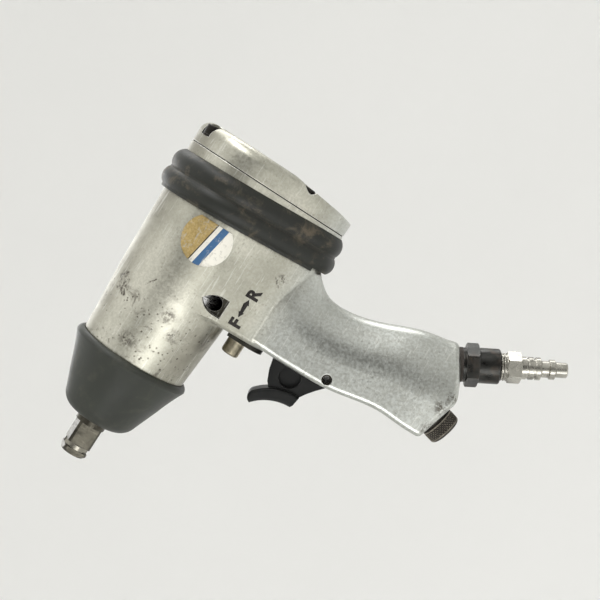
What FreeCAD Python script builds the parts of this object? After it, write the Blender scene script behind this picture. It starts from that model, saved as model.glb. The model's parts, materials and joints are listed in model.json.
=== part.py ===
"""Pistol-grip pneumatic impact wrench with a half-inch square drive, as a parametric FreeCAD document.

Frame: millimetres. X runs along the drive axis from the anvil's tip (x = 0) to the rear cover,
+Z is up (the handle hangs towards -Z) and the side with the exhaust window faces -Y.
"""
import FreeCAD, Part

import math
import os
import re

import Sketcher

Vector = FreeCAD.Vector
UP = Vector(0, 0, 1)
SIDE = Vector(0, 1, 0)

doc = FreeCAD.newDocument("ImpactWrench")

# ------------------------------------------------------------------ driving dimensions

SIZES = {
    # anvil and square drive
    "drive_flats": 12.7,
    "drive_corner_radius": 8.15,
    "drive_turn": 17.0,
    "drive_length": 17.5,
    "drive_tip_radius": 6.4,
    "drive_lead": 1.8,
    "ring_groove_front": 3.2,
    "ring_groove_width": 2.6,
    "ring_groove_radius": 4.6,
    "shank_radius": 9.0,
    "anvil_flange_radius": 15.0,
    "anvil_core_radius": 8.5,
    "anvil_jaw_radius": 12.0,
    "anvil_jaw_width": 10.0,
    "anvil_pilot_radius": 5.0,
    # stations along the drive axis
    "boot_front": 21.2,
    "nose_front": 24.4,
    "cavity_front": 48.0,
    "cone_end": 57.0,
    "boot_end": 60.0,
    "cage_front": 57.6,
    "cage_rear": 95.0,
    "motor_front": 97.0,
    "step": 98.0,
    "plate_thickness": 9.0,
    "motor_rear": 161.0,
    "housing_rear": 168.8,
    "gasket_thickness": 0.5,
    "cover_rear": 181.8,
    # housing
    "nose_radius": 15.5,
    "cone_radius": 28.6,
    "barrel_front_radius": 29.1,
    "step_radius": 31.6,
    "rear_radius": 34.0,
    "chin_radius": 16.5,
    "chin_drop": 40.4,
    "cavity_radius": 24.5,
    "motor_radius": 27.0,
    "bushing_radius": 12.0,
    "step_fillet": 2.5,
    # handle
    "handle_corner": 3.0,
    "handle_tip": 11.5,
    "handle_side_share": 0.36,
    "crease_fillet": 3.0,
    "seat_fillet": 3.0,
    # exhaust window
    "exhaust_x": 106.7,
    "exhaust_sill": -26.6,
    "exhaust_width": 10.2,
    "exhaust_height": 12.6,
    "exhaust_recess": 20.5,
    "exhaust_port": 3.9,
    # cover and screws
    "cover_fillet": 6.0,
    "screw_seat": 174.2,
    "screw_radius": 2.5,
    "screw_head_radius": 4.25,
    "spigot_inner": 21.0,
    # rubber parts
    "boot_wall": 3.0,
    "boot_corner": 9.5,
    "bumper_tilt": 3.0,
    "bumper_middle": 152.3,
    "bumper_half_width": 11.0,
    "bumper_crest": 4.0,
    # reverse valve
    "reverse_bore": 8.0,
    "reverse_spool_radius": 5.5,
    "reverse_knob_radius": 4.8,
    "reverse_travel": 5.5,
    # trigger and throttle valve
    "pivot_x": 104.5,
    "pivot_z": -88.7,
    "pivot_radius": 2.75,
    "slot_half_width": 5.6,
    "throttle_z": -72.0,
    "throttle_front": 114.0,
    "throttle_bore": 6.5,
    "stem_radius": 3.0,
    # air inlet
    "inlet_x": 147.0,
    "inlet_z": -143.15,
    "inlet_angle": 60.4,
    "inlet_bore": 6.9,
    "inlet_seat": -1.06,
    # regulator
    "regulator_x": 116.4,
    "regulator_z": -146.6,
    "regulator_angle": 104.0,
    "regulator_bore": 4.5,
    "knob_front": 86.8,
    "stop_screw_x": 110.2,
    "spool_seal_floor": 4.2,
    "retainer_thickness": 2.5,
    "stem_front": 108.9,
    "spring_front": 126.5,
    "spring_wire": 0.4,
    "trigger_width": 16.0,
    "web_width": 10.6,
    "trigger_nose": 3.3,
    "pin_length": 27.5,
    "plug_thread": 6.85,
    "plug_tip": 3.95,
    "plug_bore": 2.8,
    # hammer
    "anvil_rear": 88.0,
    "jaw_rear": 82.6,
    "dog_front": 65.0,
    "cage_plate": 83.2,
    "cage_radius": 23.5,
    "dog_window": 19.2,
    "dog_radius": 21.5,
    "dog_half_width": 15.5,
    "dog_pin_radius": 2.5,
    "dog_pin_height": 17.0,
    # vane motor
    "rotor_hex": 11.0,
    "rotor_shaft": 6.0,
    "rotor_radius": 16.5,
    "rotor_offset": 2.3,
    "cylinder_bore": 19.0,
    "vane_floor": 6.9,
    "vane_thickness": 2.0,
    "bearing_outer": 13.0,
    "bearing_width": 7.0,
    "ball_radius": 2.4,
    "ball_pitch": 9.5,
    "dowel_radius": 1.5,
    "dowel_height": 23.0,
    # label
    "label_x": 131.5,
    "label_z": -1.0,
    "label_radius": 12.8,
    "label_edge": 140.9,
    # fits
    "running_gap": 0.03,
    "part_gap": 0.1,
}

sheet = doc.addObject("Spreadsheet::Sheet", "Sizes")
for row, (alias, size) in enumerate(SIZES.items(), start=1):
    sheet.set(f"A{row}", alias)
    sheet.set(f"B{row}", str(size))
    sheet.setAlias(f"B{row}", alias)
doc.recompute()


def bound(text):
    """The expression with every size's name pointed at the sheet."""
    return re.sub(r"[a-z]\w*", lambda word: "Sizes." * (word.group() in SIZES) + word.group(), str(text))


def value(text):
    """The number that an expression gives now."""
    return float(sheet.evalExpression(bound(text)))


# ------------------------------------------------------------------ modelling helpers

NODES = []


def new_body(label, several=False):
    """A PartDesign body that becomes one node; several allows separate solids in it."""
    body = doc.addObject("PartDesign::Body", "Body_" + label)
    body.Label = label
    body.AllowCompound = several
    NODES.append(body)
    return body


def origin_part(body, role):
    """One of the body's own origin planes or axes."""
    return next(feature for feature in body.Origin.OriginFeatures if feature.Role == role)


def new_sketch(body, plane, offset="0", at=("0", "0"), turn="0", lean="0"):
    """A sketch on an origin plane: moved to a point of the plane and along its normal, then turned
    about the normal, or leant about the sketch's own horizontal direction."""
    sketch = body.newObject("Sketcher::SketchObject", "Sketch")
    sketch.AttachmentSupport = [(origin_part(body, plane), "")]
    sketch.MapMode = "FlatFace"
    axis, angle = (UP, turn) if value(turn) else (Vector(1, 0, 0), lean)
    base = Vector(value(at[0]), value(at[1]), value(offset))
    sketch.AttachmentOffset = FreeCAD.Placement(base, FreeCAD.Rotation(axis, value(angle)))
    for letter, text in zip("xyz", (*at, offset)):
        sketch.setExpression(f"AttachmentOffset.Base.{letter}", bound(text))
    if value(angle):
        sketch.setExpression("AttachmentOffset.Rotation.Angle", bound(angle))
    return sketch


def locate(sketch, geometry, end, x, y):
    """Fix one point of a sketch's geometry at two expressions."""
    for kind, text, axis in (("DistanceX", x, -2), ("DistanceY", y, -1)):
        if abs(value(text)) < 1e-9:
            sketch.addConstraint(Sketcher.Constraint("PointOnObject", geometry, end, axis))
        else:
            index = sketch.addConstraint(Sketcher.Constraint(kind, geometry, end, value(text)))
            sketch.setExpression(f"Constraints[{index}]", bound(text))


def set_radius(sketch, geometry, radius):
    """Bind the radius of an arc or circle to an expression."""
    index = sketch.addConstraint(Sketcher.Constraint("Radius", geometry, abs(value(radius))))
    sketch.setExpression(f"Constraints[{index}]", f"abs({bound(radius)})")


def outline(sketch, points):
    """A closed outline through (x, y) points. A third item is the radius of the arc that arrives
    at that point, positive when the arc turns left and negative when it turns right."""
    first = sketch.GeometryCount
    places = [Vector(value(point[0]), value(point[1]), 0) for point in points]
    ends = []
    for number, start in enumerate(places):
        stop = places[(number + 1) % len(places)]
        arrival = points[(number + 1) % len(points)]
        if len(arrival) == 2:
            sketch.addGeometry(Part.LineSegment(start, stop), False)
            ends.append((1, 2))
            continue
        radius = value(arrival[2])
        chord = stop - start
        left = Vector(-chord.y, chord.x, 0).normalize()
        height = math.sqrt(max(radius**2 - (chord.Length / 2) ** 2, 0))
        centre = (start + stop) / 2 + left * math.copysign(height, radius)
        path = (start, stop) if radius > 0 else (stop, start)
        angles = [math.atan2(place.y - centre.y, place.x - centre.x) for place in path]
        sketch.addGeometry(Part.ArcOfCircle(Part.Circle(centre, UP, abs(radius)), *angles), False)
        ends.append((1, 2) if radius > 0 else (2, 1))
    for number, point in enumerate(points):
        following = (number + 1) % len(points)
        joint = (first + number, ends[number][1], first + following, ends[following][0])
        sketch.addConstraint(Sketcher.Constraint("Coincident", *joint))
        locate(sketch, first + number, ends[number][0], point[0], point[1])
        if len(point) == 3:
            set_radius(sketch, first + (number - 1) % len(points), point[2])


def circle(sketch, x, y, radius):
    """A circle at (x, y)."""
    index = sketch.addGeometry(Part.Circle(Vector(value(x), value(y), 0), UP, value(radius)), False)
    set_radius(sketch, index, radius)
    locate(sketch, index, 3, x, y)


def rectangle(sketch, left, low, right, high):
    """A rectangle from its lower left corner to its upper right one."""
    outline(sketch, [(left, low), (right, low), (right, high), (left, high)])


def pear(sketch, radius, chin="chin_radius"):
    """The motor section's outline: the barrel's circle and the chin's circle joined by tangent lines."""
    sine = f"(({radius}) - ({chin})) / chin_drop"
    cosine = f"sqrt(1 - ({sine})^2)"
    low = f"-chin_drop - ({chin}) * {sine}"
    outline(
        sketch,
        [
            ("0", radius, radius),
            (f"-({radius}) * {cosine}", f"-({radius}) * {sine}", radius),
            (f"-({chin}) * {cosine}", low),
            (f"({chin}) * {cosine}", low, chin),
            (f"({radius}) * {cosine}", f"-({radius}) * {sine}"),
        ],
    )


def grip_section(sketch, front, rear, half):
    """One level section of the handle: flat front with rounded corners, flat sides, oval back."""
    start = f"({front} + handle_side_share * ({rear} - {front}))"
    reach = f"({rear} - handle_tip - {start})"
    side = f"(({reach}^2 + {half}^2 - handle_tip^2) / (2 * ({half} - handle_tip)))"
    meet_x = f"{rear} - handle_tip + handle_tip * {reach} / ({side} - handle_tip)"
    meet_y = f"handle_tip * ({side} - {half}) / ({side} - handle_tip)"
    inner = f"{half} - handle_corner"
    back = f"{front} + handle_corner"
    outline(
        sketch,
        [
            (front, inner, "handle_corner"),
            (front, f"-({inner})"),
            (back, f"-{half}", "handle_corner"),
            (start, f"-{half}"),
            (meet_x, f"-{meet_y}", side),
            (meet_x, meet_y, "handle_tip"),
            (start, half, side),
            (back, half),
        ],
    )


def hexagon(sketch, x, y, flats):
    """A hexagon whose flats lie at a distance from its centre, two of its corners up and down."""
    points = []
    for number in range(6):
        angle = 60 * number + 30
        points.append(
            (f"{x} + ({flats}) / cos(30) * cos({angle})", f"{y} + ({flats}) / cos(30) * sin({angle})")
        )
    outline(sketch, points)


def finish(body, feature):
    """Name a feature as the body's tip."""
    body.Tip = feature
    return feature


def revolve(body, sketch, kind="Revolution", axis="H_Axis"):
    """Turn a sketch a full circle about one of its own axes; kind Groove cuts."""
    feature = body.newObject("PartDesign::" + kind, kind)
    feature.Profile = sketch
    feature.ReferenceAxis = (sketch, [axis])
    feature.Angle = 360
    return finish(body, feature)


def extrude(body, sketch, length, kind="Pad", both=False, back=False):
    """Pad or Pocket a sketch; both is half the length each way, back the other way."""
    feature = body.newObject("PartDesign::" + kind, kind)
    feature.Profile = sketch
    feature.SideType = "Symmetric" if both else "One side"
    feature.Reversed = back
    feature.setExpression("Length", bound(length))
    return finish(body, feature)


def loft(body, sketches, kind="AdditiveLoft", ruled=False):
    """A loft through sketches in order."""
    feature = body.newObject("PartDesign::" + kind, kind)
    feature.Profile = sketches[0]
    feature.Sections = sketches[1:]
    feature.Ruled = ruled
    return finish(body, feature)


def polar(body, features, count):
    """Repeat features all round the body's own X axis."""
    pattern = body.newObject("PartDesign::PolarPattern", "PolarPattern")
    pattern.Originals = features
    pattern.Axis = (origin_part(body, "X_Axis"), [""])
    pattern.Angle = 360
    pattern.Occurrences = count
    return finish(body, pattern)


def dress(body, kind, size, chosen):
    """Fillet or Chamfer the edges of the tip that the chosen test accepts."""
    doc.recompute()
    base = body.Tip
    names = [f"Edge{number}" for number, edge in enumerate(base.Shape.Edges, start=1) if chosen(edge)]
    feature = body.newObject("PartDesign::" + kind, kind)
    feature.Base = (base, names)
    feature.setExpression("Radius" if kind == "Fillet" else "Size", bound(size))
    return finish(body, feature)


def turned(label, points):
    """A body turned about its own X axis from an outline of (station, radius) points."""
    body = new_body(label)
    sketch = new_sketch(body, "XZ_Plane")
    outline(sketch, points)
    revolve(body, sketch)
    return body


def place(body, x="0", y="0", z="0", angle="0"):
    """Put a body at a point, its own X axis dipped by an angle below the frame's X axis."""
    spot = Vector(value(x), value(y), value(z))
    body.Placement = FreeCAD.Placement(spot, FreeCAD.Rotation(SIDE, value(angle)))
    for letter, text in zip("xyz", (x, y, z)):
        body.setExpression(f"Placement.Base.{letter}", bound(text))
    if value(angle):
        body.setExpression("Placement.Rotation.Angle", bound(angle))
    return body


def tube(front, rear, inner, outer):
    """The (station, radius) outline of a plain tube."""
    return [(front, inner), (rear, inner), (rear, outer), (front, outer)]


def rod(front, rear, radius):
    """The (station, radius) outline of a plain rod."""
    return [(front, "0"), (rear, "0"), (rear, radius), (front, radius)]


def along_x(edge, station):
    """Whether an edge lies in the plane x = station."""
    box = edge.BoundBox
    return abs(box.XMin - station) < 0.01 and abs(box.XMax - station) < 0.01


# ------------------------------------------------------------------ housing

GRIP = (
    # level, front, rear, half width
    (-30.0, 98.9, 152.0, 20.4),
    (-44.0, 98.9, 151.0, 15.6),
    (-57.5, 98.8, 147.6, 15.2),
    (-66.0, 98.9, 140.3, 15.4),
    (-78.0, 99.3, 138.5, 15.9),
    (-92.0, 100.5, 141.3, 16.6),
    (-106.0, 103.3, 146.8, 17.2),
    (-120.0, 105.3, 152.0, 17.8),
    (-134.0, 104.8, 155.1, 18.2),
    (-152.0, 103.6, 156.0, 18.3),
)

housing = new_body("housing")

sketch = new_sketch(housing, "XZ_Plane")
outline(
    sketch,
    [
        ("nose_front", "0"),
        ("step", "0"),
        ("step", "step_radius"),
        ("boot_end - 1", "barrel_front_radius"),
        ("cone_end", "cone_radius"),
        ("nose_front", "nose_radius"),
    ],
)
revolve(housing, sketch)

front_pear = new_sketch(housing, "YZ_Plane", offset="step")
pear(front_pear, "step_radius")
rear_pear = new_sketch(housing, "YZ_Plane", offset="housing_rear")
pear(rear_pear, "rear_radius")
loft(housing, [front_pear, rear_pear], ruled=True)
dress(
    housing,
    "Fillet",
    "step_fillet",
    lambda edge: along_x(edge, value("step")) and edge.BoundBox.ZMax < -5,
)

sections = []
for level, front, rear, half in GRIP:
    section = new_sketch(housing, "XY_Plane", offset=str(level))
    grip_section(section, str(front), str(rear), str(half))
    sections.append(section)
loft(housing, sections)


def on_crease(edge):
    """Whether an edge is part of the crease where the handle leaves the motor section."""
    box = edge.BoundBox
    if box.ZMax > -38 or box.ZMin < -57.2 or box.XMin < 98.85 or box.XMax > 149 or edge.Length < 1.5:
        return False
    middle = edge.valueAt((edge.FirstParameter + edge.LastParameter) / 2)
    faces = housing.Tip.Shape.ancestorsOfType(edge, Part.Face)
    normals = [face.normalAt(*face.Surface.parameter(middle)) for face in faces]
    return len(normals) == 2 and normals[0].getAngle(normals[1]) > math.radians(10)


dress(housing, "Fillet", "crease_fillet", on_crease)

# the handle's foot: the regulator's seat, a rounded lowest corner and the inlet's seat
sketch = new_sketch(housing, "XZ_Plane")
outline(
    sketch,
    [
        ("85", "-138.4"),
        ("126.5", "-149.2"),
        ("133.5", "-149.0", "9"),
        ("139.5", "-146.2"),
        ("162.5", "-133.1"),
        ("162.5", "-165"),
        ("85", "-165"),
    ],
)
extrude(housing, sketch, "60", "Pocket", both=True)


def on_foot(edge):
    """Whether an edge borders the foot's flats."""
    box = edge.BoundBox
    return box.ZMax < -130 and box.YMax - box.YMin > 4 or box.ZMax < -130 and box.ZMax - box.ZMin > 4


dress(housing, "Fillet", "seat_fillet", on_foot)

# bores along the drive axis: bushing seat, hammer cavity and motor bore
sketch = new_sketch(housing, "XZ_Plane")
outline(
    sketch,
    [
        ("nose_front - 1", "0"),
        ("housing_rear + 1", "0"),
        ("housing_rear + 1", "motor_radius"),
        ("motor_front", "motor_radius"),
        ("motor_front", "cavity_radius"),
        ("cone_end", "cavity_radius"),
        ("cavity_front", "20.5"),
        ("cavity_front", "bushing_radius"),
        ("nose_front - 1", "bushing_radius"),
    ],
)
revolve(housing, sketch, "Groove")


def bore(body, front, rear, radius, x="0", z="0", angle="0"):
    """Cut a round bore in the plane y = 0, between two stations of a line dipped by an angle."""
    cut = new_sketch(body, "XZ_Plane", at=(x, z), turn=f"-({angle})")
    outline(cut, rod(front, rear, radius))
    return revolve(body, cut, "Groove")


bore(housing, "step - 5", "136", "reverse_bore + running_gap", z="-chin_drop")
bore(housing, "throttle_front - 4", "133", "throttle_bore + running_gap", z="throttle_z")
bore(housing, "-23", "6", "inlet_bore + running_gap", "inlet_x", "inlet_z", "inlet_angle")
bore(housing, "-42", "-20", "5", "inlet_x", "inlet_z", "inlet_angle")
bore(housing, "-26", "6", "regulator_bore + running_gap", "regulator_x", "regulator_z", "regulator_angle")
bore(housing, "-36", "-20", "3", "regulator_x", "regulator_z", "regulator_angle")

# air ways: handle to throttle, throttle to reverse valve, reverse valve to motor
sketch = new_sketch(housing, "XY_Plane", offset="throttle_z - 45")
circle(sketch, "128", "0", "4")
extrude(housing, sketch, "45", "Pocket", back=True)
sketch = new_sketch(housing, "XY_Plane", offset="throttle_z")
circle(sketch, "118", "0", "3.2")
extrude(housing, sketch, "0 - throttle_z - 26", "Pocket", back=True)

# trigger slot in the handle's front and the pivot pin's hole
sketch = new_sketch(housing, "XZ_Plane")
rectangle(sketch, "85", "-96", "throttle_front", "-58")
extrude(housing, sketch, "slot_half_width * 2", "Pocket", both=True)
sketch = new_sketch(housing, "XZ_Plane")
circle(sketch, "pivot_x", "pivot_z", "pivot_radius")
extrude(housing, sketch, "60", "Pocket", both=True)

# exhaust window: an arched recess in the flank with a round port to the motor bore
sketch = new_sketch(housing, "XZ_Plane", offset="exhaust_recess")
outline(
    sketch,
    [
        ("exhaust_x - exhaust_width / 2", "exhaust_sill"),
        ("exhaust_x + exhaust_width / 2", "exhaust_sill"),
        ("exhaust_x + exhaust_width / 2", "exhaust_sill + 4"),
        ("exhaust_x", "exhaust_sill + exhaust_height", "exhaust_width * 1.05"),
        ("exhaust_x - exhaust_width / 2", "exhaust_sill + 4", "exhaust_width * 1.05"),
    ],
)
extrude(housing, sketch, "20", "Pocket", back=True)
sketch = new_sketch(housing, "XZ_Plane")
circle(sketch, "exhaust_x", "exhaust_sill + 6", "exhaust_port")
extrude(housing, sketch, "30", "Pocket", back=True)

# tapped holes for the cover's screws
SCREWS = (("16", "26"), ("-16", "26"), ("17.5", "-28.5"), ("-17.5", "-28.5"))
sketch = new_sketch(housing, "YZ_Plane", offset="housing_rear")
for across, up in SCREWS:
    circle(sketch, across, up, "screw_radius + running_gap")
extrude(housing, sketch, "14", "Pocket")

# air way from the reverse valve up to the motor bore
sketch = new_sketch(housing, "XY_Plane", offset="-chin_drop")
circle(sketch, "104", "0", "2.6")
circle(sketch, "130", "0", "2.6")
extrude(housing, sketch, "15", "Pocket", back=True)

# the reverse valve's stop screw comes in from the far side
sketch = new_sketch(housing, "XZ_Plane", offset="-6")
circle(sketch, "stop_screw_x", "-chin_drop", "2 + running_gap")
extrude(housing, sketch, "30", "Pocket", back=False)

# ------------------------------------------------------------------ rear cover and its fixings


def pear_slab(label, front, thickness, radius, chin="chin_radius"):
    """A pear-shaped slab across the drive axis."""
    body = new_body(label)
    base = new_sketch(body, "YZ_Plane", offset=front)
    pear(base, radius, chin)
    extrude(body, base, thickness)
    return body


cover_front = "(housing_rear + gasket_thickness)"
rear_cover = pear_slab("rear_cover", cover_front, f"cover_rear - {cover_front}", "rear_radius")

dress(rear_cover, "Fillet", "cover_fillet", lambda edge: along_x(edge, value("cover_rear")))

# the cover's lower back slopes forward towards the chin
sketch = new_sketch(rear_cover, "XZ_Plane")
outline(
    sketch,
    [
        ("cover_rear", "-20"),
        ("cover_rear + 4", "-20"),
        ("cover_rear + 4", "-60"),
        ("cover_rear - 6.5", "-60"),
        ("cover_rear - 2.8", "-42", "80"),
    ],
)
extrude(rear_cover, sketch, "80", "Pocket", both=True)
sketch = new_sketch(rear_cover, "YZ_Plane", offset="screw_seat")
for across, up in SCREWS:
    circle(sketch, across, up, "screw_head_radius + 1.2")
extrude(rear_cover, sketch, "20", "Pocket", back=True)
sketch = new_sketch(rear_cover, "YZ_Plane", offset="cover_rear")
for across, up in SCREWS:
    circle(sketch, across, up, "screw_radius + 0.25")
extrude(rear_cover, sketch, "30", "Pocket")
sketch = new_sketch(rear_cover, "XZ_Plane")
spigot_outer = "motor_radius - part_gap"
outline(sketch, tube("motor_rear + part_gap", f"{cover_front} + 0.5", "spigot_inner", spigot_outer))
revolve(rear_cover, sketch)
sketch = new_sketch(rear_cover, "XZ_Plane")
outline(sketch, rod(f"{cover_front} - 1", f"{cover_front} + 4", "spigot_inner"))
revolve(rear_cover, sketch, "Groove")

gasket = pear_slab(
    "cover_gasket", "housing_rear", "gasket_thickness", "rear_radius - 0.45", "chin_radius - 0.45"
)
sketch = new_sketch(gasket, "YZ_Plane", offset="cover_rear")
circle(sketch, "0", "0", "motor_radius")
for across, up in SCREWS:
    circle(sketch, across, up, "screw_radius + 0.25")
extrude(gasket, sketch, "30", "Pocket")


def four_screws(label, points, socket=None):
    """One turned fastener at each of the cover's four screw places."""
    body = new_body(label, several=True)
    for across, up in SCREWS:
        profile = new_sketch(body, "XZ_Plane", offset=f"-({across})", at=("0", up))
        outline(profile, points)
        revolve(body, profile)
    if socket:
        hexes = new_sketch(body, "YZ_Plane", offset=socket)
        for across, up in SCREWS:
            hexagon(hexes, across, up, "screw_radius * 0.8")
        extrude(body, hexes, "10", "Pocket", back=True)
    return body


head = "screw_seat + 1.1"
four_screws("cover_lock_washers", tube("screw_seat", head, "screw_radius + 0.1", "screw_head_radius"))
four_screws(
    "cover_screws",
    [
        ("housing_rear - 12", "0"),
        (f"{head} + 5", "0"),
        (f"{head} + 5", "screw_head_radius - 0.5"),
        (f"{head} + 4.5", "screw_head_radius"),
        (head, "screw_head_radius"),
        (head, "screw_radius"),
        ("housing_rear - 12", "screw_radius"),
    ],
    socket=f"{head} + 2.2",
)

# ------------------------------------------------------------------ rubber boot and bumper

turned(
    "nose_boot",
    [
        ("boot_front", "9.2"),
        ("nose_front - 0.2", "9.2"),
        ("nose_front - 0.2", "nose_radius + 0.1"),
        ("cone_end", "cone_radius + 0.15"),
        ("boot_end - 1", "barrel_front_radius + 0.1"),
        ("boot_end", "barrel_front_radius + 0.15"),
        ("boot_end", "barrel_front_radius + 0.9"),
        ("boot_end - 3", "barrel_front_radius + boot_wall + 0.1", "3.6"),
        ("41.5", "25.8", "-120"),
        ("28", "20.6"),
        ("boot_front", "11.5", "boot_corner"),
    ],
)

bumper = new_body("bumper")
path = new_sketch(bumper, "YZ_Plane", offset="bumper_middle", lean="-bumper_tilt")
pear(path, "rear_radius - 0.4")
ribs = new_sketch(bumper, "XZ_Plane", at=("bumper_middle", "rear_radius - 0.4"), turn="-bumper_tilt")
outline(
    ribs,
    [
        ("-bumper_half_width", "-2"),
        ("bumper_half_width", "-2"),
        ("bumper_half_width", "0.9"),
        ("0.5", "bumper_crest * 0.7", "bumper_half_width * 0.64"),
        ("-0.5", "bumper_crest * 0.7"),
        ("-bumper_half_width + 1.4", "1.4", "bumper_half_width * 0.56"),
        ("-bumper_half_width", "1.0"),
    ],
)
sweep = bumper.newObject("PartDesign::AdditivePipe", "Sweep")
sweep.Profile = ribs
sweep.Spine = path
finish(bumper, sweep)
rear_gap = "(rear_radius + 0.05)"
front_gap = "(step_radius + 0.05)"
front_hole = new_sketch(bumper, "YZ_Plane", offset="step")
pear(front_hole, front_gap, "chin_radius + 0.3")
rear_hole = new_sketch(bumper, "YZ_Plane", offset="housing_rear")
pear(rear_hole, rear_gap, "chin_radius + 0.3")
loft(bumper, [front_hole, rear_hole], "SubtractiveLoft", ruled=True)
sketch = new_sketch(bumper, "XZ_Plane")
rectangle(sketch, "bumper_middle - 20", "-80", "bumper_middle - 4.4", "-52")
extrude(bumper, sketch, "60", "Pocket", both=True)

# ------------------------------------------------------------------ anvil and socket retainer

turned(
    "anvil_bushing",
    tube("nose_front + 0.1", "cavity_front - part_gap", "shank_radius + running_gap", "bushing_radius"),
)
turned(
    "anvil_thrust_washer",
    tube("cavity_front + 0.1", "cavity_front + 1.6", "shank_radius + 0.3", "18.5"),
)

anvil = turned(
    "anvil",
    [
        ("0", "0"),
        ("anvil_rear", "0"),
        ("anvil_rear", "anvil_pilot_radius"),
        ("jaw_rear", "anvil_pilot_radius"),
        ("jaw_rear", "anvil_core_radius"),
        ("cavity_front + 5.5", "anvil_core_radius"),
        ("cavity_front + 5.5", "anvil_flange_radius"),
        ("cavity_front + 1.7", "anvil_flange_radius"),
        ("cavity_front + 1.7", "shank_radius"),
        ("nose_front", "shank_radius"),
        ("nose_front", "drive_corner_radius"),
        ("ring_groove_front + ring_groove_width", "drive_corner_radius"),
        ("ring_groove_front + ring_groove_width", "ring_groove_radius"),
        ("ring_groove_front", "ring_groove_radius"),
        ("ring_groove_front", "drive_corner_radius"),
        ("drive_lead", "drive_corner_radius"),
        ("0", "drive_tip_radius"),
    ],
)
flats = new_sketch(anvil, "YZ_Plane", offset="drive_length", turn="drive_turn")
circle(flats, "0", "0", "drive_flats")
rectangle(flats, "-drive_flats / 2", "-drive_flats / 2", "drive_flats / 2", "drive_flats / 2")
extrude(anvil, flats, "drive_length + 2", "Pocket")
jaw_side = "anvil_jaw_width / 2"
jaw_foot = f"-sqrt(anvil_jaw_radius^2 - ({jaw_side})^2)"
jaw = new_sketch(anvil, "YZ_Plane", offset="dog_front + 1")
outline(
    jaw,
    [
        (f"-{jaw_side}", "-2"),
        (f"-{jaw_side}", jaw_foot),
        (jaw_side, jaw_foot, "anvil_jaw_radius"),
        (jaw_side, "-2"),
    ],
)
extrude(anvil, jaw, "jaw_rear - dog_front - 1")

ring = turned(
    "socket_retaining_ring",
    tube(
        "ring_groove_front + part_gap",
        "ring_groove_front + ring_groove_width - part_gap",
        "ring_groove_radius + 0.9",
        "drive_flats / 2 + 0.45",
    ),
)
split = new_sketch(ring, "YZ_Plane", turn="drive_turn")
rectangle(split, "-1.4", "2", "1.4", "10")
extrude(ring, split, "10", "Pocket", back=True)

middle = "ring_groove_front + ring_groove_width / 2"
o_ring = new_body("retaining_ring_o_ring")
sketch = new_sketch(o_ring, "XZ_Plane")
circle(sketch, middle, "ring_groove_radius + 0.44", "0.42")
revolve(o_ring, sketch)

# ------------------------------------------------------------------ hammer

cage = turned(
    "hammer_cage",
    [
        ("cage_front", "anvil_jaw_radius + 0.4"),
        ("dog_front", "anvil_jaw_radius + 0.4"),
        ("dog_front", "9"),
        ("cage_plate", "9"),
        ("cage_plate", "anvil_pilot_radius + running_gap"),
        ("anvil_rear + 0.5", "anvil_pilot_radius + running_gap"),
        ("anvil_rear + 0.5", "5"),
        ("cage_rear", "5"),
        ("cage_rear", "cage_radius - 1"),
        ("cage_rear - 1", "cage_radius"),
        ("cage_front + 1", "cage_radius"),
        ("cage_front", "cage_radius - 1"),
    ],
)
window = new_sketch(cage, "XY_Plane")
rectangle(window, "dog_front", "-dog_window", "cage_plate", "dog_window")
extrude(cage, window, "80", "Pocket", both=True)
socket = new_sketch(cage, "YZ_Plane", offset="anvil_rear + 0.5")
hexagon(socket, "0", "0", "rotor_hex / 2 + part_gap / 2")
extrude(cage, socket, "20", "Pocket", back=True)
bore(cage, "cage_front - 1", "cage_rear - 2", "dog_pin_radius + running_gap", z="dog_pin_height")

turned("hammer_pin", rod("cage_front + 0.5", "cage_rear - 2.2", "dog_pin_radius"))
place(NODES[-1], z="dog_pin_height")

dog = new_body("hammer_dog")
dog_side = "dog_half_width"
dog_cut = f"sqrt(dog_radius^2 - {dog_side}^2)"
sketch = new_sketch(dog, "YZ_Plane", offset="dog_front + 0.25")
outline(
    sketch,
    [
        (dog_side, dog_cut),
        (f"-{dog_side}", dog_cut, "dog_radius"),
        (f"-{dog_side}", f"-{dog_cut}"),
        (dog_side, f"-{dog_cut}", "dog_radius"),
    ],
)
extrude(dog, sketch, "cage_plate - dog_front - 0.5")
sketch = new_sketch(dog, "YZ_Plane", offset="dog_front - 1")
circle(sketch, "0", "0", "anvil_core_radius + 2.1")
circle(sketch, "0", "dog_pin_height", "dog_pin_radius + 0.05")
extrude(dog, sketch, "40", "Pocket", back=True)
sketch = new_sketch(dog, "YZ_Plane", offset="dog_front - 1")
rectangle(sketch, "-10", "-anvil_jaw_radius - 3.5", "10", "0")
extrude(dog, sketch, "40", "Pocket", back=True)

# ------------------------------------------------------------------ vane motor

rotor_front = "motor_front + plate_thickness + 0.2"
rotor_rear = "motor_rear - plate_thickness - 0.2"
rotor = turned(
    "rotor",
    [
        ("cage_rear + 0.5", "0"),
        ("motor_rear - 0.6", "0"),
        ("motor_rear - 0.6", "rotor_shaft"),
        (rotor_rear, "rotor_shaft"),
        (rotor_rear, "rotor_radius"),
        (rotor_front, "rotor_radius"),
        (rotor_front, "rotor_shaft"),
        ("cage_rear + 0.5", "rotor_shaft"),
    ],
)
sketch = new_sketch(rotor, "YZ_Plane", offset="cage_rear + 1")
hexagon(sketch, "0", "0", "rotor_hex / 2")
extrude(rotor, sketch, "cage_rear - anvil_rear - 0.3", back=True)
sketch = new_sketch(rotor, "XZ_Plane")
rectangle(sketch, f"{rotor_front} - 0.1", "vane_floor", f"{rotor_rear} + 0.1", "rotor_radius + 1")
slot = extrude(rotor, sketch, "vane_thickness + 0.06", "Pocket", both=True)
polar(rotor, [slot], 6)

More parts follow.
